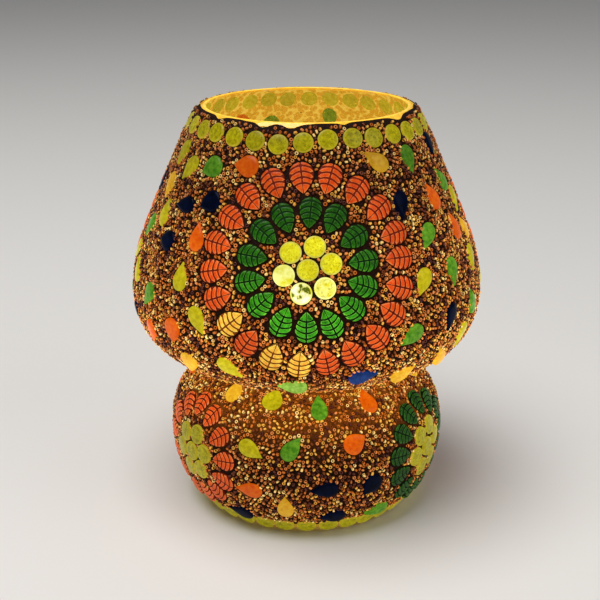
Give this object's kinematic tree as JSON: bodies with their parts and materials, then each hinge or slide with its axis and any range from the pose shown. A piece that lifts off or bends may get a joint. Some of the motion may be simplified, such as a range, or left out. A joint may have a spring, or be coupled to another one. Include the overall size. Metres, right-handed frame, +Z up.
{
  "type": "mosaic glass table lamp",
  "caption": "Mushroom-shaped table lamp: one blown glass body covered in glass mosaic discs, leaves and seed beads, with a clamped screw lamp holder and bulb inside.",
  "frame": {"origin": "centre of the foot ring's resting plane, on the lamp's axis", "axes": "+Z up the lamp's axis of revolution, -Y towards the front medallion of the shade, +X to the right seen from the front"},
  "size_m": [0.1858, 0.1858, 0.2168],
  "materials": {
    "blown_glass": "clear pale yellow-green glass, polished",
    "yellow_disc_glass": "pressed yellow glass, glossy",
    "green_leaf_glass": "painted green glass with dark veins, glossy",
    "orange_leaf_glass": "painted orange-red glass with dark veins, glossy",
    "amber_drop_glass": "amber glass drop, glossy",
    "blue_drop_glass": "deep blue glass drop, glossy",
    "seed_beads": "amber and brown glass seed beads, glossy",
    "dark_grout": "dark brown grout between the tiles, matt",
    "zinc_steel": "zinc-plated pressed steel",
    "black_bakelite": "moulded black thermoset, semi-gloss",
    "porcelain": "white glazed porcelain",
    "brass": "bright brass sheet",
    "rubber": "black rubber, matt",
    "solder": "tinned solder and support wire, satin",
    "black_glass": "black vitrite insulator, glossy",
    "bulb_glass": "clear warm bulb glass",
    "glowing_filament": "phosphor filament, lit"
  },
  "bodies": {
    "lamp": {"glass_body": "blown_glass", "rim_disc_ring": "yellow_disc_glass", "shade_bead_field": "seed_beads", "neck_bead_band": "seed_beads", "bowl_bead_field": "seed_beads", "foot_disc_ring": "yellow_disc_glass", "shade_medallion_1_discs": "yellow_disc_glass", "shade_medallion_1_inner_leaves": "green_leaf_glass", "shade_medallion_1_outer_leaves": "orange_leaf_glass", "bowl_medallion_1_discs": "yellow_disc_glass", "bowl_medallion_1_leaves": "green_leaf_glass", "shade_medallion_2_discs": "yellow_disc_glass", "shade_medallion_2_inner_leaves": "green_leaf_glass", "shade_medallion_2_outer_leaves": "orange_leaf_glass", "bowl_medallion_2_discs": "yellow_disc_glass", "bowl_medallion_2_leaves": "orange_leaf_glass", "shade_medallion_3_discs": "yellow_disc_glass", "shade_medallion_3_inner_leaves": "green_leaf_glass", "shade_medallion_3_outer_leaves": "orange_leaf_glass", "bowl_medallion_3_discs": "yellow_disc_glass", "bowl_medallion_3_leaves": "orange_leaf_glass", "gasket_upper": "rubber", "gasket_lower": "rubber", "base_plate_upper": "zinc_steel", "base_plate_lower": "zinc_steel", "holder_bridge": "zinc_steel", "clamp_screw_1": "zinc_steel", "clamp_nut_1": "zinc_steel", "clamp_screw_2": "zinc_steel", "clamp_nut_2": "zinc_steel", "holder_nipple": "zinc_steel", "nipple_nut": "zinc_steel", "holder_cap": "black_bakelite", "holder_shell": "black_bakelite", "holder_core": "porcelain", "screw_shell": "brass", "centre_contact": "brass", "terminal_screw_1": "brass", "terminal_screw_2": "brass", "cable_grommet": "rubber"},
    "bulb_tip": {"bulb_contact": "solder"},
    "bulb": {"bulb_insulator": "black_glass", "bulb_cap": "brass", "bulb_envelope": "bulb_glass", "bulb_stem": "bulb_glass", "filament_support": "solder", "filament_leads": "solder", "filament_1": "glowing_filament", "filament_2": "glowing_filament", "filament_3": "glowing_filament", "filament_4": "glowing_filament"}
  },
  "joints": [
    {"name": "bulb_lift", "type": "slide", "parent": "lamp", "child": "bulb_tip", "axis": [0, 0, 1], "range_m": [0, 0.0128]},
    {"name": "bulb_unscrew", "type": "hinge", "parent": "bulb_tip", "child": "bulb", "pos_m": [0, 0, 0.05], "axis": [0, 0, 1], "range_deg": [0, 1260]}
  ],
  "couplings": [
    {"joint": "bulb_lift", "follows": "bulb_unscrew", "m_per_rad": 0.00057757}
  ]
}
